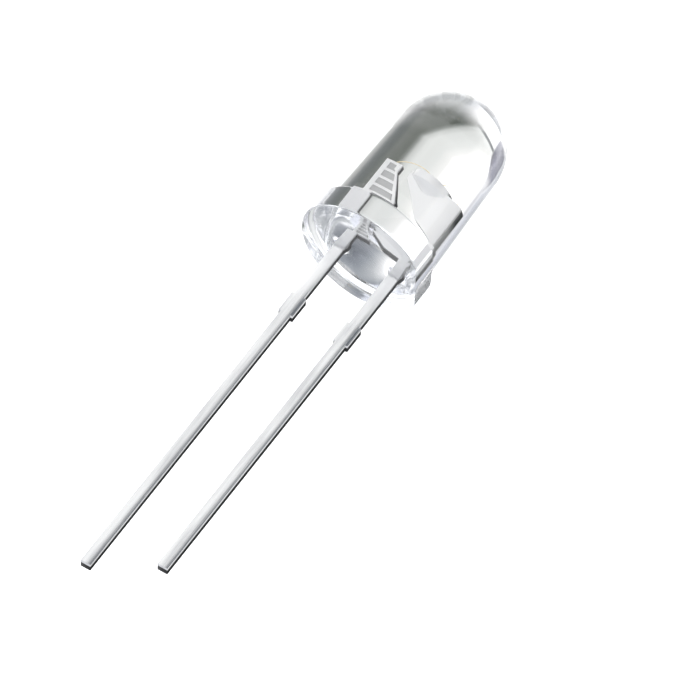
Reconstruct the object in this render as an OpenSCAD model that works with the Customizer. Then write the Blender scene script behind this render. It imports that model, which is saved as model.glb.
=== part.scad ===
// Through-hole LED, 5 mm round, water clear.
//
// Each piece is drawn upright: the seat of the flange is at z = 0, the dome points up (+Z), the leads
// run down, the anode is on the -X side and the cathode on the +X side. lay() then lays the LED on
// its side, with the flat pair of leads level: the dome points to +X, the leads run to -X and the
// anode lies on the +Y side. The origin stays at the middle of the seat.

/* [Lens body] */
// Height of the cast body, from the seat to the top of the dome
lens_h = 8.6; // [7:0.1:11]
// Diameter of the body where it leaves the flange
body_d = 5.0; // [4.8:0.05:6]
// Radius of the dome, a little less than the body's because the mould has draft
dome_r = 2.32; // [2:0.02:2.4]
// Radius of the hollow corner between the body and the flange
shoulder_r = 0.12; // [0.05:0.01:0.25]

/* [Flange] */
// Height of the flange
flange_h = 1.2; // [0.8:0.05:1.6]
// How far the flange stands out from the body
flange_rim = 0.3; // [0.2:0.02:0.6]
// Depth of the flat that marks the cathode side, from the flange's edge
flat_depth = 0.3; // [0.1:0.02:0.5]
// Radius of the flange's upper edge
top_edge_r = 0.15; // [0.05:0.01:0.3]
// Radius of the flange's lower edge, round the seat
seat_edge_r = 0.06; // [0.03:0.01:0.15]
// Radius of the resin that creeps out round each lead
creep_r = 0.3; // [0.1:0.05:0.5]

/* [Leads] */
// Distance between the two leads
pitch = 2.54; // [2.2:0.02:3.2]
// Width of a lead, across the pair
lead_w = 0.45; // [0.35:0.01:0.6]
// Thickness of the sheet that the leads are stamped from
stock_t = 0.4; // [0.3:0.01:0.5]
// Length of the anode lead below the seat
anode_len = 18; // [10:0.5:30]
// Length of the cathode lead below the seat
cathode_len = 16.5; // [8:0.5:30]
// How far the lead frame sits off the lens axis, towards the cathode
frame_shift = 0.3; // [0:0.05:0.35]

/* [Tie bar stubs] */
// Distance from the seat to the middle of the stubs
stub_drop = 3.45; // [2:0.1:6]
// Length of a stub along its lead
stub_len = 1.0; // [0.5:0.05:1.5]
// How far a stub stands out on each side of its lead
stub_reach = 0.1; // [0.05:0.01:0.4]

/* [Anode post] */
// Height of the post's foot above the seat, where the lead widens
foot_z = 2.06; // [1.4:0.02:2.6]
// Height of the top of the post above the seat
post_top = 3.9; // [3.6:0.05:5]
// Width of the foot
foot_w = 0.82; // [0.6:0.02:1]
// Width of the waist under the head
waist_w = 0.4; // [0.3:0.02:0.6]
// Height of the head, where the bond wire lands
head_h = 0.35; // [0.2:0.05:0.5]
// Clear gap between the head and the reflector cup
head_gap = 0.26; // [0.08:0.01:0.3]
// How far the post's outer edge steps in from the lead's outer edge
post_step = 0.22; // [0.05:0.01:0.3]
// Number of pockets coined into the post's face to key the resin
pocket_n = 4; // [2:1:6]
// Width of the ribs and the edges left between the pockets
rib_w = 0.12; // [0.06:0.01:0.16]
// Depth of a pocket
pocket_depth = 0.06; // [0.03:0.01:0.1]

/* [Cathode anvil] */
// Height of the anvil's neck above the seat, where the lead widens
neck_z = 1.8; // [1.4:0.05:2.6]
// Height of the anvil's top face above the seat
anvil_top = 3.95; // [3.6:0.05:5]
// How far the anvil reaches past the lead frame's middle, towards the anode
anvil_reach = 0.6; // [0.4:0.02:0.7]
// Distance from the lead frame's middle to the knee in the sloping edge
knee_x = 0.24; // [0:0.02:0.6]
// Height of the knee above the neck
knee_h = 0.32; // [0.1:0.02:0.6]
// Height above the neck where the sloping edge ends
slope_h = 1.7; // [1.2:0.05:1.8]
// How far the anvil's outer edge steps in from the lead's outer edge
anvil_step = 0.14; // [0.05:0.01:0.2]

/* [Reflector cup] */
// Outer radius of the cup
cup_r = 0.58; // [0.5:0.01:0.7]
// How far the cup's rim stands above the anvil
cup_rise = 0.15; // [0:0.01:0.2]
// Height of the cup's straight wall
cup_wall_h = 0.35; // [0.35:0.05:0.8]
// Height of the taper from the wall down into the anvil
cup_taper_h = 0.4; // [0.2:0.05:0.6]
// Radius of the cup's mouth
mouth_r = 0.46; // [0.36:0.01:0.48]
// Depth of the cup
cup_depth = 0.32; // [0.2:0.02:0.4]
// Radius of the cup's floor
floor_r = 0.22; // [0.21:0.01:0.3]

/* [Chip] */
// Side of the square chip
chip_side = 0.28; // [0.2:0.02:0.28]
// Thickness of the chip
chip_t = 0.12; // [0.08:0.01:0.16]
// Thickness of the glue under the chip
glue_t = 0.02; // [0.01:0.005:0.04]
// Radius of the patch of glue
glue_r = 0.2; // [0.15:0.01:0.21]

/* [Bond wires] */
// Diameter of the wire
wire_d = 0.03; // [0.02:0.005:0.05]
// Radius of the flattened ball or stitch at each end
bond_r = 0.04; // [0.03:0.005:0.06]
// Height of the ball or stitch
bond_h = 0.03; // [0.02:0.005:0.04]
// Distance from the chip's middle to each bond on it
pad_offset = 0.08; // [0.06:0.01:0.1]
// Height of a wire's loop above the line between its ends
loop_rise = 0.42; // [0.35:0.01:0.6]

/* [Hidden] */
$fn = 96;
EPS = 0.01;

body_r = body_d / 2;
flange_r = body_r + flange_rim;
flat_x = flange_r - flat_depth;
dome_z = lens_h - dome_r;

// The body's side is a cone that runs tangent into the dome
side_len = norm([body_r, dome_z - flange_h]);
side_lean = acos(dome_r / side_len) - atan2(dome_z - flange_h, body_r);
tangent_pt = [dome_r * cos(side_lean), dome_z + dome_r * sin(side_lean)];
// Centre of the hollow corner, which touches that cone and the top of the flange
corner_x = body_r + shoulder_r * (1 / cos(side_lean) - tan(side_lean));
corner_touch = [
    corner_x - shoulder_r * cos(side_lean),
    flange_h + shoulder_r * (1 - sin(side_lean))
];

// Places on the lead frame, measured from its own middle
lead_x = pitch / 2;
post_edge = -lead_x - lead_w / 2 + post_step;
foot_in = post_edge + foot_w;
waist_in = post_edge + waist_w;
head_in = -max(cup_r, anvil_reach) - head_gap;
waist_z = post_top - head_h - (head_in - waist_in);
pocket_pitch = (post_top - foot_z - rib_w) / pocket_n;
anvil_edge = lead_x + lead_w / 2 - anvil_step;
creep_core_r = norm([lead_w, stock_t]) / 2;

// Heights in the cup, measured from the seat
rim_z = anvil_top + cup_rise;
floor_z = rim_z - cup_depth;
chip_z = floor_z + glue_t;
chip_top = chip_z + chip_t;

// Lays the upright LED on its side
module lay() {
    rotate([0, 90, 0])
        rotate([0, 0, -90])
            children();
}

// Moves a piece of the lead frame to its place in the lens
module in_lens() {
    translate([frame_shift, 0, 0])
        children();
}

// A stamping: an outline in X and Z, as thick as the sheet
module stamped() {
    rotate([90, 0, 0])
        linear_extrude(height = stock_t, center = true)
            children();
}

// Half section of the cast body: flange with rounded edges, drafted side and dome
module lens_section() {
    polygon([
        [0, 0],
        [flange_r - seat_edge_r, 0],
        [flange_r, seat_edge_r],
        [flange_r, flange_h - top_edge_r],
        [flange_r - top_edge_r, flange_h],
        [0, flange_h]
    ]);
    translate([flange_r - seat_edge_r, seat_edge_r])
        circle(r = seat_edge_r);
    translate([flange_r - top_edge_r, flange_h - top_edge_r])
        circle(r = top_edge_r);
    polygon([[0, 0], [body_r, flange_h], tangent_pt, [0, tangent_pt.y]]);
    translate([0, dome_z])
        intersection() {
            circle(r = dome_r);
            square(dome_r);
        }
    difference() {
        polygon([[0, flange_h - EPS], [corner_x, flange_h - EPS], [corner_x, flange_h],
            corner_touch, [0, corner_touch.y]]);
        translate([corner_x, flange_h + shoulder_r])
            circle(r = shoulder_r);
    }
}

// Resin that has crept a little way down one lead
module creep(x) {
    translate([x, 0, 0])
        rotate_extrude()
            difference() {
                translate([0, -creep_r])
                    square([creep_core_r + creep_r, creep_r + EPS]);
                translate([creep_core_r + creep_r, -creep_r])
                    circle(r = creep_r);
            }
}

// Outside of the cast body, with nothing in it
module lens_outside() {
    difference() {
        rotate_extrude()
            lens_section();
        translate([flat_x, -flange_r, -EPS])
            cube([flange_r, 2 * flange_r, flange_h + shoulder_r + EPS]);
    }
    in_lens() {
        creep(-lead_x);
        creep(lead_x);
    }
}

// One lead with its cut-off tie bar stubs, from its tip up to the given height
module lead_outline(x, len, top) {
    translate([x - lead_w / 2, -len])
        square([lead_w, len + top]);
    translate([x - lead_w / 2 - stub_reach, -stub_drop - stub_len / 2])
        square([lead_w + 2 * stub_reach, stub_len]);
}

// Outline of the post, or with an inset the part of its face inside its edges
module post_outline(inset) {
    polygon([
        [post_edge + inset, foot_z + inset],
        [foot_in - inset, foot_z + inset],
        [foot_in - inset, foot_z + max(inset, head_h / 2)],
        [waist_in - inset / 2, waist_z],
        [head_in - inset, post_top - head_h],
        [head_in - inset, post_top - inset],
        [post_edge + inset, post_top - inset]
    ]);
}

// Pockets coined into the post's face, with ribs left between them
module post_pockets() {
    translate([0, pocket_depth - stock_t / 2, 0])
        rotate([90, 0, 0])
            linear_extrude(height = pocket_depth + EPS)
                intersection() {
                    post_outline(rib_w);
                    for (i = [0 : pocket_n - 1])
                        translate([post_edge, foot_z + rib_w + pocket_pitch * i])
                            square([foot_w, pocket_pitch - rib_w]);
                }
}

// The anode: its lead, and the post that the bond wire lands on
module anode_shape() {
    in_lens()
        difference() {
            stamped() {
                lead_outline(-lead_x, anode_len, foot_z + EPS);
                post_outline(0);
            }
            post_pockets();
        }
}

// The cathode: its lead, and the anvil with the reflector cup pressed into its top
module cathode_shape() {
    in_lens()
        difference() {
            union() {
                stamped() {
                    lead_outline(lead_x, cathode_len, neck_z + EPS);
                    polygon([
                        [lead_x - lead_w / 2, neck_z],
                        [knee_x, neck_z + knee_h],
                        [-anvil_reach, neck_z + slope_h],
                        [-anvil_reach, anvil_top],
                        [anvil_edge, anvil_top],
                        [anvil_edge, neck_z]
                    ]);
                }
                translate([0, 0, rim_z - cup_wall_h])
                    cylinder(r = cup_r, h = cup_wall_h);
                translate([0, 0, rim_z - cup_wall_h - cup_taper_h])
                    cylinder(r1 = stock_t / 2, r2 = cup_r, h = cup_taper_h);
            }
            cup_hollow();
        }
}

// The inside of the cup, open at the top
module cup_hollow() {
    slope = (mouth_r - floor_r) / cup_depth;
    translate([0, 0, floor_z])
        cylinder(r1 = floor_r, r2 = mouth_r + slope * EPS, h = cup_depth + EPS);
}

// Patch of glue that holds the chip to the cup's floor
module glue_shape() {
    in_lens()
        translate([0, 0, floor_z])
            cylinder(r = glue_r, h = glue_t);
}

// The chip itself
module chip_shape() {
    in_lens()
        translate([-chip_side / 2, -chip_side / 2, chip_z])
            cube([chip_side, chip_side, chip_t]);
}

// A wire looped up and over from the right-hand bond to the left-hand one. Each bond is [x, z], with z
// the face that it is pressed onto.
module bond_wire(right, left) {
    lift = [0, bond_h / 2];
    from = right + lift;
    to = left + lift;
    half = norm(to - from) / 2;
    loop_r = (half * half + loop_rise * loop_rise) / (2 * loop_rise);
    up = [from.y - to.y, to.x - from.x] / (2 * half);
    middle = (from + to) / 2 + (loop_r - loop_rise) * up;
    from_a = atan2(from.y - middle.y, from.x - middle.x);
    to_a = atan2(to.y - middle.y, to.x - middle.x);
    in_lens() {
        translate([middle.x, 0, middle.y])
            rotate([90, 0, 0])
                rotate([0, 0, from_a])
                    rotate_extrude(angle = (to_a - from_a + 360) % 360)
                        translate([loop_r, 0])
                            circle(d = wire_d);
        for (end = [right, left])
            translate([end.x, 0, end.y])
                cylinder(r = bond_r, h = bond_h);
    }
}

// Wire from the chip over to the anode post
module anode_wire_shape() {
    bond_wire([-pad_offset, chip_top], [(post_edge + head_in) / 2, post_top]);
}

// Wire from the chip over to the anvil, beside the cup
module cathode_wire_shape() {
    bond_wire([(cup_r + anvil_edge) / 2, anvil_top], [pad_offset, chip_top]);
}

// Cast epoxy, filled in round everything that it holds
module lens_body() {
    color([0.88, 0.94, 0.96, 0.35])
        lay()
            difference() {
                lens_outside();
                anode_shape();
                cathode_shape();
                glue_shape();
                chip_shape();
                anode_wire_shape();
                cathode_wire_shape();
            }
}

// Longer lead, stamped in steel and tinned
module anode_lead() {
    color([0.8, 0.8, 0.79])
        lay()
            anode_shape();
}

// Shorter lead, stamped in steel and tinned
module cathode_lead() {
    color([0.72, 0.72, 0.71])
        lay()
            cathode_shape();
}

// Silver-filled glue
module die_attach() {
    color([0.6, 0.6, 0.58])
        lay()
            glue_shape();
}

// Light-emitting chip on its clear crystal base
module led_chip() {
    color([0.55, 0.65, 0.8])
        lay()
            chip_shape();
}

// Fine gold wire on the anode side
module anode_bond_wire() {
    color([0.9, 0.75, 0.35])
        lay()
            anode_wire_shape();
}

// Fine gold wire on the cathode side
module cathode_bond_wire() {
    color([0.9, 0.75, 0.35])
        lay()
            cathode_wire_shape();
}

lens_body();
anode_lead();
cathode_lead();
die_attach();
led_chip();
anode_bond_wire();
cathode_bond_wire();
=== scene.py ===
import bpy, bmesh
from math import pi, sin, cos, radians, sqrt, hypot
from mathutils import Matrix, Vector


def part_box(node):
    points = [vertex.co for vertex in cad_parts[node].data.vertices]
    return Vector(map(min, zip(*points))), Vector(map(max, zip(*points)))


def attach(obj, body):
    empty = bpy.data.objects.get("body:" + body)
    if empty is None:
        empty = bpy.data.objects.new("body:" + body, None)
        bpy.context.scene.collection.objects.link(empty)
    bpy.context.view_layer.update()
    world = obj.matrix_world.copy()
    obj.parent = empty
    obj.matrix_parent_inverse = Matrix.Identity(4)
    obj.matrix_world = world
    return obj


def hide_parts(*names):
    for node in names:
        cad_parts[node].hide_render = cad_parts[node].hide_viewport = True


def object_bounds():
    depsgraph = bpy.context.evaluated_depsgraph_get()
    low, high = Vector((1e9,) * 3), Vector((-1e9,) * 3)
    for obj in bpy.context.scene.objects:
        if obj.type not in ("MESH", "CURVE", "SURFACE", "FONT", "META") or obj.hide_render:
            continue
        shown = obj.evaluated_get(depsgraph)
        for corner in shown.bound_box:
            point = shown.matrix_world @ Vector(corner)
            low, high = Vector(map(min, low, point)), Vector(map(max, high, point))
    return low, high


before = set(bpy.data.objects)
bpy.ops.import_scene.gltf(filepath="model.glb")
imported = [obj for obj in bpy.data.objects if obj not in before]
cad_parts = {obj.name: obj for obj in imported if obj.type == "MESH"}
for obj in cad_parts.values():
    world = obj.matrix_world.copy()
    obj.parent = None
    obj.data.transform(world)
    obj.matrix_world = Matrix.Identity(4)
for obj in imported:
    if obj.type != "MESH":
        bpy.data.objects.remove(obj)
cad_low, cad_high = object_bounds()
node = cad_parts

# Lead frame: the anode and cathode leads, pressed from one strip of mild steel and cropped apart once the
# resin has set. The ends in the resin are plated with matt silver, and the legs are dipped in tin. A cut
# side is bright in a narrow band along its top, where the punch went in, and dull below it, where it is
# painted near black as shade.
silver_white = (0.98, 0.98, 0.97, 1)
tin_pale = (0.55, 0.555, 0.56, 1)
tin_grey = (0.42, 0.425, 0.435, 1)
# Near black, painted as shade on the cut sides, the pocket floors and the anvil's inner edge
painted_shade_grey = (0.05, 0.05, 0.053, 1)
anode_low, anode_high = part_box("anode_lead")
stock_t = anode_high.z - anode_low.z
lead_w = 0.00045
pitch = 0.00254
lead_out = pitch / 2
lead_mid = -0.0003
roll_over = 0.000035


def new_finish(name):
    # A bare material, its shader, and the socket for the place on the piece
    finish = bpy.data.materials.new(name)
    finish.use_nodes = True
    nodes = finish.node_tree.nodes
    return finish, nodes["Principled BSDF"], nodes.new("ShaderNodeTexCoord").outputs["Object"]


def feed(socket, value):
    # Gives a socket a fixed value, or joins another socket to it
    if isinstance(value, bpy.types.NodeSocket):
        socket.id_data.links.new(value, socket)
    else:
        socket.default_value = value


def split(vector):
    # The three parts of a place or a direction
    parts = vector.id_data.nodes.new("ShaderNodeSeparateXYZ")
    feed(parts.inputs[0], vector)
    return parts.outputs


def graded(value, low, high, to_low=0.0, to_high=1.0):
    # Goes evenly from one level to another between low and high, and stays level past them
    step = value.id_data.nodes.new("ShaderNodeMapRange")
    for socket, number in (("From Min", low), ("From Max", high), ("To Min", to_low), ("To Max", to_high)):
        step.inputs[socket].default_value = number
    feed(step.inputs["Value"], value)
    return step.outputs[0]


def worked(operation, value, *terms):
    # One sum on a value and up to two more
    result = value.id_data.nodes.new("ShaderNodeMath")
    result.operation = operation
    for socket, term in zip(result.inputs, (value, *terms)):
        feed(socket, term)
    return result.outputs[0]


def without(mask):
    # Where a mask doesn't hold
    return worked("MULTIPLY_ADD", mask, -1.0, 1.0)


def where_all(mask, *masks):
    # Where every one of the masks holds
    for other in masks:
        mask = worked("MULTIPLY", mask, other)
    return mask


def mottled(place, scale, detail=2.0):
    # Cloudy marks; a larger scale makes them finer
    noise = place.id_data.nodes.new("ShaderNodeTexNoise")
    noise.inputs["Scale"].default_value = scale
    noise.inputs["Detail"].default_value = detail
    feed(noise.inputs["Vector"], place)
    return noise.outputs["Fac"]


def drawn_out(place, scale, detail):
    # Cloudy marks that run along the lead, with one scale along it and two across
    stretch = place.id_data.nodes.new("ShaderNodeMapping")
    stretch.inputs["Scale"].default_value = scale
    feed(stretch.inputs["Vector"], place)
    return mottled(stretch.outputs[0], 1.0, detail)


def blended(share, first, second):
    # One tone going over to another, as the share goes from 0 to 1
    mix = share.id_data.nodes.new("ShaderNodeMix")
    mix.data_type = "RGBA"
    for socket, value in (("Factor", share), ("A", first), ("B", second)):
        feed(mix.inputs[socket], value)
    return mix.outputs["Result"]


def bumped(height, distance, strength=1.0, over=None, sunk=False):
    # Relief too fine for the mesh, laid over coarser relief where there is some
    bump = height.id_data.nodes.new("ShaderNodeBump")
    bump.invert = sunk
    bump.inputs["Distance"].default_value = distance
    feed(bump.inputs["Strength"], strength)
    feed(bump.inputs["Height"], height)
    if over is not None:
        feed(bump.inputs["Normal"], over)
    return bump.outputs[0]


plate, plate_shader, place = new_finish("tinned_steel")
facing = split(place.id_data.nodes.new("ShaderNodeNewGeometry").outputs["Normal"])
lead_at = split(place)
# How far a face looks up or down tells the strip's flat faces from its cut sides
turned_flat = (0.2, 0.45)
not_flat = without(graded(worked("ABSOLUTE", facing["Z"]), *turned_flat))
# The tin gives way to silver at the top of each leg
tin_to_silver = (-0.0032, 0.0008)
in_resin = graded(lead_at["X"], *tin_to_silver)
# Electroplated silver is matt and white, where tin still mirrors
feed(plate_shader.inputs["Metallic"], graded(in_resin, 0.0, 1.0, to_low=1.0, to_high=0.3))
# Painted shade: the floors of the coined pockets are painted darker than the ribs between them
pocket_wall = (0.00016, 0.00018)
off_middle = worked("ABSOLUTE", lead_at["Z"])
pocket_shade = graded(off_middle, *pocket_wall, to_low=0.45, to_high=0.0)
# Painted shade goes only on the strip's own sides, and only below the bright band: the cup is drawn up
strip_to_cup = (stock_t / 2, stock_t / 2 + 0.00001)
shade_to_band = (0.00006, 0.00009)
in_strip = graded(off_middle, *strip_to_cup, to_low=1.0, to_high=0.0)
below_band = graded(lead_at["Z"], *shade_to_band, to_low=1.0, to_high=0.0)
painted_side_shade = where_all(in_strip, below_band, not_flat)
# The painted shade on the anvil's outer side is lighter at its foot than at its top
anvil_side = (-0.0014, -0.0015)
foot_start = (0.0002, 0.0006)
foot_end = (0.0034, 0.0028)
lighter_at_foot = 0.65
at_foot = where_all(
    graded(lead_at["Y"], *anvil_side), graded(lead_at["X"], *foot_end), graded(lead_at["X"], *foot_start))
shade_left = worked("MULTIPLY_ADD", at_foot, -lighter_at_foot, 1.0)
# A thin line of painted shade runs along the anvil's inner edge
anvil_inside = (0.0004, 0.00038)
slope_start = (0.0009, 0.0013)
turned_inwards = (0.15, 0.3)
inner_shade_line = where_all(
    graded(facing["Y"], *turned_inwards), graded(lead_at["Y"], *anvil_inside),
    graded(lead_at["X"], *slope_start), in_strip)
painted_lead_shade = worked("MULTIPLY_ADD", painted_side_shade, shade_left, inner_shade_line)
painted_lead_shade.node.use_clamp = True
# Rolling lines run along the strip, and the tin lies in long soft waves, where it ran down as it drained
rolled = drawn_out(place, scale=(900, 26000, 9000), detail=4.0)
tin_waves = drawn_out(place, scale=(260, 3400, 3400), detail=3.0)
wave_depths = (0.35, 0.6)
tin_tone = blended(graded(tin_waves, *wave_depths), tin_grey, tin_pale)
# Silver, with painted shade on the pocket floors
silver_tone = blended(pocket_shade, silver_white, painted_shade_grey)
plated = blended(in_resin, tin_tone, silver_tone)
# The cut sides and the anvil's inner edge line are painted near black, as shade
feed(plate_shader.inputs["Base Color"], blended(painted_lead_shade, plated, painted_shade_grey))
# Matt silver in the resin, brighter tin outside, dull sides
gloss = graded(rolled, 0.0, 1.0, to_low=0.16, to_high=0.36)
silver_matt = 0.22
matt = worked("MULTIPLY_ADD", in_resin, silver_matt, gloss)
dull = graded(painted_lead_shade, 0.0, 1.0, to_high=0.18)
feed(plate_shader.inputs["Roughness"], worked("ADD", matt, dull))
roll_bump = bumped(rolled, distance=0.000004, strength=0.25)
tin_bump = bumped(tin_waves, distance=0.00001, strength=0.3, over=roll_bump)
# Tin stands highest along the middle of each leg and thins towards its edges
from_mid = worked("ABSOLUTE", worked("SUBTRACT", lead_at["Y"], lead_mid))
across_leg = graded(from_mid, lead_out - lead_w / 2, lead_out + lead_w / 2, to_low=-1.0, to_high=1.0)
across_leg.node.clamp = False
crown = worked("MULTIPLY", across_leg, across_leg)
crown_bump = bumped(crown, distance=0.000032, strength=without(in_resin), over=tin_bump, sunk=True)
# The bright band leans in from the side, where the punch went in
band_rise = (0.00008, stock_t / 2)
band = where_all(graded(lead_at["Z"], *band_rise), not_flat)
feed(plate_shader.inputs["Normal"], bumped(band, distance=0.00012, over=crown_bump, sunk=True))

for name in ("anode_lead", "cathode_lead"):
    lead = node[name]
    lead.data.materials.clear()
    lead.data.materials.append(plate)
    joined_faces = lead.modifiers.new("joined faces", "WELD")
    joined_faces.merge_threshold = 1e-7
    rolled_edge = lead.modifiers.new("rolled edge", "BEVEL")
    rolled_edge.width = roll_over
    rolled_edge.segments = 2
    rolled_edge.limit_method = "ANGLE"
    rolled_edge.angle_limit = radians(40)

# Die attach: a dot of silver-filled epoxy glue in the cup, squeezed out round the chip. It is matt grey,
# with the silver flakes in it showing as bright specks.
flake_bright = (0.80, 0.80, 0.79, 1)
glue_grey = (0.42, 0.42, 0.43, 1)
glue_low, glue_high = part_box("die_attach")
glue_mid_y = (glue_low.y + glue_high.y) / 2
glue_swell = 0.000012
glue_r = glue_high.z - glue_swell
glue_t = glue_high.x - glue_low.x
glue_sides = 64

glue, glue_shader, place = new_finish("silver_glue")
glue_shader.inputs["Metallic"].default_value = 0.6
flake = place.id_data.nodes.new("ShaderNodeTexVoronoi")
flake.inputs["Scale"].default_value = 60000.0
feed(flake.inputs["Vector"], place)
off_flake = flake.outputs["Distance"]
feed(glue_shader.inputs["Base Color"], blended(off_flake, flake_bright, glue_grey))
feed(glue_shader.inputs["Roughness"], graded(off_flake, 0.0, 1.0, to_low=0.3, to_high=0.7))
feed(glue_shader.inputs["Normal"], bumped(off_flake, distance=0.000004, strength=0.5))


def join_loops(skin, loops):
    # Faces between each loop of points and the next
    for lower, upper in zip(loops, loops[1:]):
        for i in range(len(lower)):
            skin.faces.new((lower[i - 1], lower[i], upper[i], upper[i - 1]))


def made_piece(name, skin, finish, sharp_from=None):
    # Turns a finished skin into a piece, with smooth faces between its sharp edges
    bmesh.ops.recalc_face_normals(skin, faces=skin.faces)
    mesh = bpy.data.meshes.new(name)
    skin.to_mesh(mesh)
    skin.free()
    if sharp_from:
        for face in mesh.polygons:
            face.use_smooth = True
        mesh.set_sharp_from_angle(angle=sharp_from)
    mesh.materials.append(finish)
    piece = bpy.data.objects.new(name, mesh)
    bpy.context.collection.objects.link(piece)
    return piece


# Loops from the middle out, by their share of the dot's radius and of its thickness. The edge is a little
# ragged, by no more than glue_swell.
dot = bmesh.new()
dot_loops = []
for out, thick in ((0.0, 1.0), (0.55, 1.0), (0.72, 0.9), (0.86, 0.6), (0.95, 0.25), (1.0, 0.0)):
    loop = []
    for i in range(glue_sides):
        turn = 2 * pi * i / glue_sides
        edge = glue_r * (1 + 0.03 * sin(3 * turn + 1) + 0.02 * sin(5 * turn))
        x = glue_low.x + glue_t * thick
        loop.append(dot.verts.new((x, glue_mid_y + edge * out * cos(turn), edge * out * sin(turn))))
    dot_loops.append(loop)
join_loops(dot, dot_loops)
dot.faces.new(dot_loops[-1])
bmesh.ops.remove_doubles(dot, verts=dot.verts, dist=1e-8)
glue_dot = made_piece("glue_dot", dot, glue, sharp_from=radians(50))
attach(glue_dot, "root")
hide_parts("die_attach")

# Chip: a diced square of crystal, with the light-making layers etched into a low mesa on its top. The saw
# leaves its sides faintly ridged. It is set in the glue with its pads towards the two leads.
crystal_deep = (0.70, 0.76, 0.80, 1)
crystal_pale = (0.86, 0.90, 0.92, 1)
chip_low, chip_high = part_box("led_chip")
chip_mid_y = (chip_low.y + chip_high.y) / 2
pad_t = 0.000003
mesa_h = 0.00001
mesa_in = 0.000012
mesa_slope = 0.000003
top_cut = 0.000003
base_cut = 0.000004
corner_cut = 0.000006
mesa_top = chip_high.x - pad_t
mesa_foot = mesa_top - mesa_h

crystal, crystal_shader, place = new_finish("chip_crystal")
crystal_shader.inputs["IOR"].default_value = 1.77
crystal_shader.inputs["Transmission Weight"].default_value = 0.35
saw = place.id_data.nodes.new("ShaderNodeTexWave")
saw.bands_direction = "X"
saw.inputs["Scale"].default_value = 9000.0
saw.inputs["Distortion"].default_value = 1.5
feed(saw.inputs["Vector"], place)
saw_marks = saw.outputs["Fac"]
feed(crystal_shader.inputs["Base Color"], blended(mottled(place, scale=12000.0), crystal_deep, crystal_pale))
feed(crystal_shader.inputs["Roughness"], graded(saw_marks, 0.0, 1.0, to_low=0.12, to_high=0.35))
feed(crystal_shader.inputs["Normal"], bumped(saw_marks, distance=0.000002, strength=0.3))

# Loops from the glue up, by their height and how far the sides stand in there
die = bmesh.new()
chip_loops = []
for x, inset in ((chip_low.x, base_cut), (chip_low.x + base_cut, 0.0), (mesa_foot - top_cut, 0.0),
                 (mesa_foot, top_cut), (mesa_foot, mesa_in), (mesa_top, mesa_in + mesa_slope)):
    side = chip_high.z - inset
    corners = []
    for sy, sz in ((1, 1), (-1, 1), (-1, -1), (1, -1)):
        for cut_y in ((0.0, corner_cut) if sy == sz else (corner_cut, 0.0)):
            y, z = side - cut_y, side - (corner_cut - cut_y)
            corners.append(die.verts.new((x, chip_mid_y + sy * y, sz * z)))
    chip_loops.append(corners)
join_loops(die, chip_loops)
die.faces.new(chip_loops[0])
die.faces.new(chip_loops[-1])
chip = made_piece("chip", die, crystal)
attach(chip, "root")
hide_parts("led_chip")

# Bond wires: gold, 0.03 mm thick. A spark melts the end of each into a ball, which is welded to a round
# gold pad on the chip. The wire is then drawn up in a loop and stitched flat to the top of the post or the
# anvil.
gold_deep = (0.92, 0.74, 0.44, 1)
gold_pale = (1.0, 0.86, 0.58, 1)
wire_r = 0.000015
bond_r = 0.00004
pad_r = bond_r + 0.000006
pad_offset = 0.00008
anvil_top = 0.00395
ball_neck = 0.000022
stitch_neck = 0.000012
landing_lean = 0.22
anode_wire_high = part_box("anode_bond_wire")[1]
cathode_wire_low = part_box("cathode_bond_wire")[0]
# The round pieces at a wire's ends, as heights and radii from the foot up
pad_profile = ((-pad_t, pad_r), (0.0, pad_r))
ball_profile = ((0.0, 0.000034), (0.000004, 0.000039), (0.00001, bond_r), (0.000018, 0.000037),
                (0.000025, 0.000028), (0.00003, 0.000017))
stitch_profile = ((0.0, bond_r), (0.000008, 0.000037), (0.000016, 0.000028), (0.000024, 0.000017))

gold, gold_shader, place = new_finish("gold_wire")
gold_shader.inputs["Metallic"].default_value = 1.0
draw_marks = mottled(place, scale=30000.0, detail=3.0)
feed(gold_shader.inputs["Base Color"], blended(draw_marks, gold_deep, gold_pale))
feed(gold_shader.inputs["Roughness"], graded(draw_marks, 0.0, 1.0, to_low=0.15, to_high=0.38))
feed(gold_shader.inputs["Normal"], bumped(draw_marks, distance=0.000002, strength=0.3))


def turned(wire, profile, foot_x, foot_y, sides=20):
    # A round piece that stands on a lead or on the chip
    loops = []
    for height, radius in profile:
        loop = []
        for i in range(sides):
            turn = 2 * pi * i / sides
            loop.append(wire.verts.new((foot_x + height, foot_y + radius * cos(turn), radius * sin(turn))))
        loops.append(loop)
    join_loops(wire, loops)
    wire.faces.new(loops[0])
    wire.faces.new(loops[-1])


def drawn_wire(wire, start, rise_x, lean_y, end, steps=40, sides=12):
    # The wire's loop: a curve that leaves the ball upright and comes down on the stitch at a slant
    path = []
    for k in range(steps + 1):
        s = k / steps
        near, leaving, landing, far = (1 - s) ** 3, 3 * s * (1 - s) ** 2, 3 * s * s * (1 - s), s ** 3
        x = near * start.x + (leaving + landing) * rise_x + far * end.x
        y = (near + leaving) * start.y + landing * lean_y + far * end.y
        path.append(Vector((x, y, 0)))
    loops = []
    for k, point in enumerate(path):
        heading = (path[min(k + 1, steps)] - path[max(k - 1, 0)]).normalized()
        loop = []
        for i in range(sides):
            turn = 2 * pi * i / sides
            away = Vector((-heading.y * cos(turn), heading.x * cos(turn), sin(turn)))
            loop.append(wire.verts.new(point + wire_r * away))
        loops.append(loop)
    join_loops(wire, loops)
    wire.faces.new(loops[0])
    wire.faces.new(loops[-1])


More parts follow.
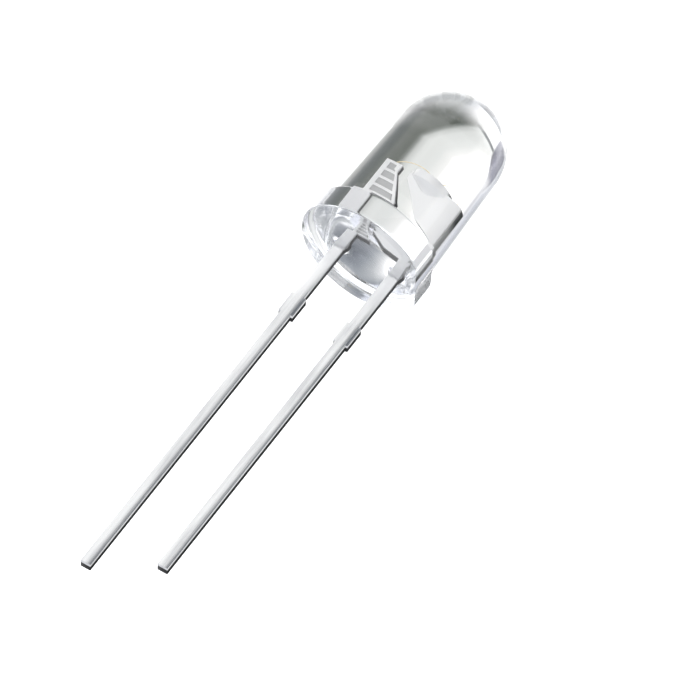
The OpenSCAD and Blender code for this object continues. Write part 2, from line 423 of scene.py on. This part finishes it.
def bond_wire(name, cad_node, ball_y, stitch_x, stitch_y):
    wire = bmesh.new()
    turned(wire, pad_profile, chip_high.x, ball_y)
    turned(wire, ball_profile, chip_high.x, ball_y)
    turned(wire, stitch_profile, stitch_x, stitch_y)
    start = Vector((chip_high.x + ball_neck, ball_y, 0))
    end = Vector((stitch_x + stitch_neck, stitch_y, 0))
    # At its middle the curve is three quarters of rise_x and an eighth of each end
    loop_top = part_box(cad_node)[1].x - wire_r
    rise_x = (loop_top - (start.x + end.x) / 8) / 0.75
    lean_y = stitch_y + (ball_y - stitch_y) * landing_lean
    drawn_wire(wire, start, rise_x, lean_y, end)
    piece = made_piece(name, wire, gold, sharp_from=radians(50))
    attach(piece, "root")
    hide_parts(cad_node)


bond_wire("gold_wire_anode", "anode_bond_wire", chip_mid_y + pad_offset, anode_high.x,
          anode_wire_high.y - bond_r)
bond_wire("gold_wire_cathode", "cathode_bond_wire", chip_mid_y - pad_offset, anvil_top,
          cathode_wire_low.y + bond_r)

# Lens body: clear epoxy resin, cast round the finished lead frame in a polished cup mould, dome down. The
# sides are drafted so that it draws out of the mould. The seat is the open side, where the resin creeps up
# each lead.
resin_warm = (0.985, 0.99, 0.985, 1)
resin_clear = (1.0, 1.0, 1.0, 1)
# Greyer tone painted on the flange as shade
flange_shade_grey = (0.88, 0.885, 0.905, 1)
# Blue-grey tone painted on the seat as shade
seat_shade_blue = (0.90, 0.92, 0.955, 1)
flange_h = 0.0012
body_r = 0.0025
dome_r = 0.00232
seat_edge_r = 0.00006
top_edge_r = 0.00015
shoulder_r = 0.00012
creep_r = 0.0003
dish_r = 0.00235
dish_depth = 0.0001
rim_w = 0.0001
lens_low, lens_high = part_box("lens_body")
flange_r = lens_high.z
flat_y = lens_low.y
dome_x = lens_high.x - dome_r
columns = 288
lead_ys = (lead_mid + lead_out, lead_mid - lead_out)


def creep_height(y, z):
    # Hollow fillet of resin that climbs each lead
    rise = 0.0
    for lead_y in lead_ys:
        away = hypot(max(abs(y - lead_y) - lead_w / 2, 0), max(abs(z) - stock_t / 2, 0))
        if away < creep_r:
            rise = max(rise, creep_r - sqrt(creep_r ** 2 - (creep_r - away) ** 2))
    return rise


# Rings of (height, radius), from the seat up. The resin shrinks as it sets and leaves the seat a shallow
# dish inside a flat rim. The dish's rings stop short of the flat, so that no two of them meet there.
seat_steps, rim_steps, edge_steps, side_steps, dome_steps = 72, 8, 10, 24, 64
rings = []
for i in range(1, seat_steps):
    r = (flange_r - seat_edge_r) * i / seat_steps
    if r < -flat_y:
        rings.append((dish_depth * max(0, 1 - (r / dish_r) ** 2), r))
for i in range(0, rim_steps + 1):
    turn = pi / 2 * i / rim_steps
    rings.append((seat_edge_r * (1 - cos(turn)), flange_r - seat_edge_r * (1 - sin(turn))))
for i in range(1, rim_steps):
    rings.append((seat_edge_r + (flange_h - seat_edge_r - top_edge_r) * i / rim_steps, flange_r))
for i in range(0, edge_steps + 1):
    turn = pi / 2 * i / edge_steps
    rings.append((flange_h - top_edge_r * (1 - sin(turn)), flange_r - top_edge_r * (1 - cos(turn))))
for i in range(1, edge_steps):
    turn = pi / 2 * i / edge_steps
    rings.append((flange_h + shoulder_r * (1 - cos(turn)), body_r + shoulder_r * (1 - sin(turn))))
side_x = flange_h + shoulder_r
for i in range(1, side_steps):
    share = i / side_steps
    rings.append((side_x + (dome_x - side_x) * share, body_r + (dome_r - body_r) * share))
for i in range(0, dome_steps):
    turn = pi / 2 * i / dome_steps
    rings.append((dome_x + dome_r * sin(turn), dome_r * cos(turn)))

skin = bmesh.new()
lens_loops = []
for x, r in rings:
    on_seat = x <= dish_depth and r < flange_r - rim_w
    loop = []
    for i in range(columns):
        turn = 2 * pi * i / columns
        y, z = max(r * cos(turn), flat_y), r * sin(turn)
        rise = creep_height(y, z) if on_seat else 0.0
        loop.append(skin.verts.new((x - rise, y, z)))
    lens_loops.append(loop)
seat_middle = skin.verts.new((dish_depth, 0, 0))
dome_tip = skin.verts.new((lens_high.x, 0, 0))
join_loops(skin, lens_loops)
for i in range(columns):
    skin.faces.new((seat_middle, lens_loops[0][i], lens_loops[0][i - 1]))
    skin.faces.new((dome_tip, lens_loops[-1][i - 1], lens_loops[-1][i]))

epoxy, epoxy_shader, place = new_finish("clear_epoxy")
epoxy_shader.inputs["IOR"].default_value = 1.53
epoxy_shader.inputs["Transmission Weight"].default_value = 1.0
height = split(place)["X"]
cure = mottled(place, scale=260.0)
resin_tone = blended(cure, resin_warm, resin_clear)
polish_gloss = graded(mottled(place, scale=1800.0, detail=3.0), 0.0, 1.0, to_high=0.02)
# The mould leaves the flange less polished than the lens, and the flange's colour is painted greyer as shade
top_of_flange = (flange_h - 0.00005, flange_h + 0.00005)
flange_matt = 0.05
flange_wall = graded(height, *top_of_flange, to_low=1.0, to_high=0.0)
flange_gloss = worked("MULTIPLY_ADD", flange_wall, flange_matt, polish_gloss)
tone_and_flange_shade = blended(flange_wall, resin_tone, flange_shade_grey)
# The seat set in open air, so it is a little dull; its colour is painted blue-grey as shade
past_dish = (dish_depth + 0.00001, dish_depth + 0.00005)
seat_matt = 0.04
open_side = graded(height, *past_dish, to_low=1.0, to_high=0.0)
feed(epoxy_shader.inputs["Roughness"], worked("MULTIPLY_ADD", open_side, seat_matt, flange_gloss))
feed(epoxy_shader.inputs["Base Color"], blended(open_side, tone_and_flange_shade, seat_shade_blue))
feed(epoxy_shader.inputs["Normal"], bumped(cure, distance=0.00002, strength=0.15))

lens = made_piece("lens", skin, epoxy, sharp_from=radians(35))
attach(lens, "root")
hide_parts("lens_body")

# Studio floor: a pale opal light table that glows a little. The lens and the plating don't mirror it: they
# show the light tent instead.
table_white = bpy.data.materials.new("table_white")
table_white.use_nodes = True
table_shader = table_white.node_tree.nodes["Principled BSDF"]
table_shader.inputs["Base Color"].default_value = (0.95, 0.95, 0.95, 1)
table_shader.inputs["Roughness"].default_value = 0.9
table_shader.inputs["Specular IOR Level"].default_value = 0.1
table_shader.inputs["Emission Color"].default_value = (1, 1, 1, 1)
table_shader.inputs["Emission Strength"].default_value = 0.6
half_table = 3
floor_corners = ((-1, -1), (1, -1), (1, 1), (-1, 1))
floor_mesh = bpy.data.meshes.new("floor")
floor_mesh.from_pydata(
    [(half_table * x, half_table * y, cad_low.z) for x, y in floor_corners], [], [(0, 1, 2, 3)])
floor_mesh.materials.append(table_white)
floor = bpy.data.objects.new("floor", floor_mesh)
bpy.context.collection.objects.link(floor)
floor.visible_transmission = False
floor.visible_glossy = False

# Studio light: a white tent all round, with grey and blue-grey cards hung in it. The clear resin bends
# light so far that the cards show in it as dark edges, bands and fine lines. Places in the tent are
# directions from the lens.
white = (1.0, 1.0, 1.0, 1)
roof_blue = (0.80, 0.81, 0.84, 1)
tent = bpy.data.worlds.new("light_tent")
bpy.context.scene.world = tent
tent.use_nodes = True
tent_light = tent.node_tree.nodes["Background"]
tent_light.inputs["Strength"].default_value = 1.7
way = tent.node_tree.nodes.new("ShaderNodeTexCoord").outputs["Generated"]
tent_at = split(way)


def eased(value, low, high, to_low=0.0, to_high=1.0):
    # As graded, but with soft ends
    step = graded(value, low, high, to_low, to_high)
    step.node.interpolation_type = "SMOOTHSTEP"
    return step


def towards(direction):
    # How nearly a place in the tent lies in this direction
    nearness = way.id_data.nodes.new("ShaderNodeVectorMath")
    nearness.operation = "DOT_PRODUCT"
    nearness.inputs[1].default_value = direction
    feed(nearness.inputs[0], way)
    return nearness.outputs["Value"]


def card(value, low, high, tones):
    # A card's tone from side to side, as (place, (red, green, blue)) pairs
    ramp = value.id_data.nodes.new("ShaderNodeValToRGB")
    stops = ramp.color_ramp.elements
    for at, tone in tones:
        stops.new((at - low) / (high - low)).color = (*tone[:3], 1)
    stops.remove(stops[0])
    stops.remove(stops[-1])
    feed(ramp.inputs[0], graded(value, low, high))
    return ramp.outputs["Color"]


def only_where(mask, shade):
    # A card cut off outside the mask
    return blended(mask, white, shade)


def except_where(mask, shade):
    # A card cut off inside the mask
    return blended(mask, shade, white)


def hung_over(light, shade):
    # A card hung in front of the others
    both = light.id_data.nodes.new("ShaderNodeMix")
    both.data_type = "RGBA"
    both.blend_type = "MULTIPLY"
    for socket, value in (("Factor", 1.0), ("A", light), ("B", shade)):
        feed(both.inputs[socket], value)
    return both.outputs["Result"]


# Steeply below: a dark card under the dome, and a grey one under the legs
dome_card = card(towards((1.15, 1.0, 0.0)), -0.5, 1.2, [
    (-0.38, (0.24, 0.24, 0.24)), (-0.14, (0.10, 0.105, 0.10)), (0.05, (0.06, 0.068, 0.06)),
    (0.42, (0.05, 0.058, 0.048)), (0.47, (0.12, 0.13, 0.12)), (0.52, (0.32, 0.33, 0.32)),
    (0.60, (0.44, 0.45, 0.44)), (0.80, (0.50, 0.51, 0.50)), (0.92, (0.60, 0.60, 0.59)), (1.05, white)])
leg_card = card(tent_at["Y"], -0.5, 0.7, [
    (-0.1, (0.30, 0.31, 0.31)), (0.06, (0.28, 0.29, 0.29)), (0.16, (0.36, 0.37, 0.38)),
    (0.28, (0.56, 0.56, 0.57)), (0.40, (0.8, 0.8, 0.8)), (0.5, white)])
low_half = blended(eased(tent_at["X"], -0.25, 0.2), leg_card, dome_card)
low_half = only_where(eased(tent_at["Z"], -0.6, -0.42, to_low=1.0, to_high=0.0), low_half)
# Past the anode side, and lower than the lens: a dark blue-grey card, and a paler one nearer the dome
anode_card = card(towards((-0.44, 1.0, 0.0)), 0.5, 1.0, [
    (0.70, white), (0.735, (0.2, 0.2, 0.23)), (0.80, (0.22, 0.22, 0.27)), (0.95, (0.24, 0.24, 0.28))])
anode_card = only_where(eased(tent_at["Y"], 0.76, 0.8), anode_card)
pale_card = card(tent_at["Y"], 0.5, 1.0, [
    (0.80, white), (0.86, (0.6, 0.6, 0.62)), (0.95, (0.5, 0.5, 0.52))])
anode_card = blended(eased(tent_at["X"], 0.22, 0.36), anode_card, pale_card)
anode_card = except_where(eased(tent_at["Z"], -0.24, -0.14), anode_card)
anode_card = only_where(eased(tent_at["X"], -0.4, -0.2), anode_card)
low_half = hung_over(low_half, anode_card)
# Below the lead ends, on the anode side: a grey card that draws the dome's outline and greys the seat
outline_card = card(towards((1.0, -0.26, 0.0)), -1.0, -0.4, [
    (-0.60, (0.22, 0.23, 0.25)), (-0.57, (0.28, 0.29, 0.31)), (-0.53, white)])
outline_card = except_where(eased(tent_at["Z"], -0.56, -0.46), outline_card)
outline_card = only_where(eased(tent_at["Y"], 0.1, 0.3), outline_card)
low_half = hung_over(low_half, outline_card)
# Below the anode side, up to the dark card: a strip that draws the fine line inside the dome's edge
strip_card = card(towards((1.0, -0.2, 0.0)), -0.2, 0.1, [
    (-0.13, white), (-0.11, (0.24, 0.25, 0.26)), (-0.08, (0.24, 0.25, 0.26)), (-0.055, white)])
strip_card = only_where(eased(tent_at["Y"], 0.35, 0.62), strip_card)
strip_card = except_where(eased(tent_at["Y"], 0.76, 0.8), strip_card)
low_half = hung_over(low_half, strip_card)
# Above, past the dome and the cathode side: a blue-black card
high_card = card(tent_at["Y"], -1.0, 0.3, [
    (-0.76, white), (-0.68, (0.16, 0.17, 0.19)), (-0.56, (0.10, 0.11, 0.125)), (-0.38, (0.10, 0.11, 0.125)),
    (-0.28, (0.12, 0.13, 0.15)), (-0.16, (0.19, 0.205, 0.225)), (-0.03, (0.35, 0.36, 0.37)),
    (0.06, (0.56, 0.56, 0.56)), (0.16, white)])
high_half = only_where(eased(towards(Vector((0.68, -0.5, 0.55)).normalized()), 0.55, 0.8), high_card)
# The tent's roof over the legs is a little blue
roof = blended(eased(tent_at["X"], -0.35, 0.05), roof_blue, white)
high_half = hung_over(high_half, only_where(eased(tent_at["Z"], 0.05, 0.25), roof))
whole = blended(eased(tent_at["Z"], -0.05, 0.05), low_half, high_half)
# Level with the lens: a blue-grey strip, and past the cathode side a darker card instead, hung lower
level_strip = card(tent_at["Z"], -0.4, 0.4, [
    (-0.3, white), (-0.12, (0.5, 0.51, 0.56)), (0.12, (0.5, 0.51, 0.56)), (0.3, white)])
whole = hung_over(whole, only_where(eased(tent_at["Y"], -0.72, -0.6), level_strip))
cathode_card = card(tent_at["Z"], -0.6, 0.2, [
    (-0.5, white), (-0.36, (0.38, 0.38, 0.41)), (0.0, (0.38, 0.38, 0.41)), (0.1, white)])
whole = hung_over(whole, except_where(eased(tent_at["Y"], -0.76, -0.7), cathode_card))
feed(tent_light.inputs["Color"], whole)

# Camera: a long lens half a metre away, above the legs and behind them, looking towards the dome. Light may
# turn often inside the resin before it leaves, so a ray is followed through many turns.
right = Vector((0.54194, -0.84001, 0.02618))
back = right.cross(Vector((0.68149, 0.45747, 0.57122))).normalized()
up = back.cross(right).normalized()
aim_right = -0.000438
aim_up = -0.003575
distance = 0.5
turns = 128
at = aim_right * right + aim_up * up + distance * back
camera = bpy.data.objects.new("camera", bpy.data.cameras.new("camera"))
bpy.context.collection.objects.link(camera)
camera.data.lens = 660
camera.data.sensor_width = 36
camera.data.clip_start = 0.01
camera.data.clip_end = 20
camera.matrix_world = Matrix((
    (right.x, up.x, back.x, at.x),
    (right.y, up.y, back.y, at.y),
    (right.z, up.z, back.z, at.z),
    (0, 0, 0, 1)))
scene = bpy.context.scene
scene.camera = camera
scene.view_settings.view_transform = "Standard"
scene.cycles.max_bounces = turns
scene.cycles.glossy_bounces = turns
scene.cycles.transmission_bounces = turns
scene.cycles.diffuse_bounces = 8
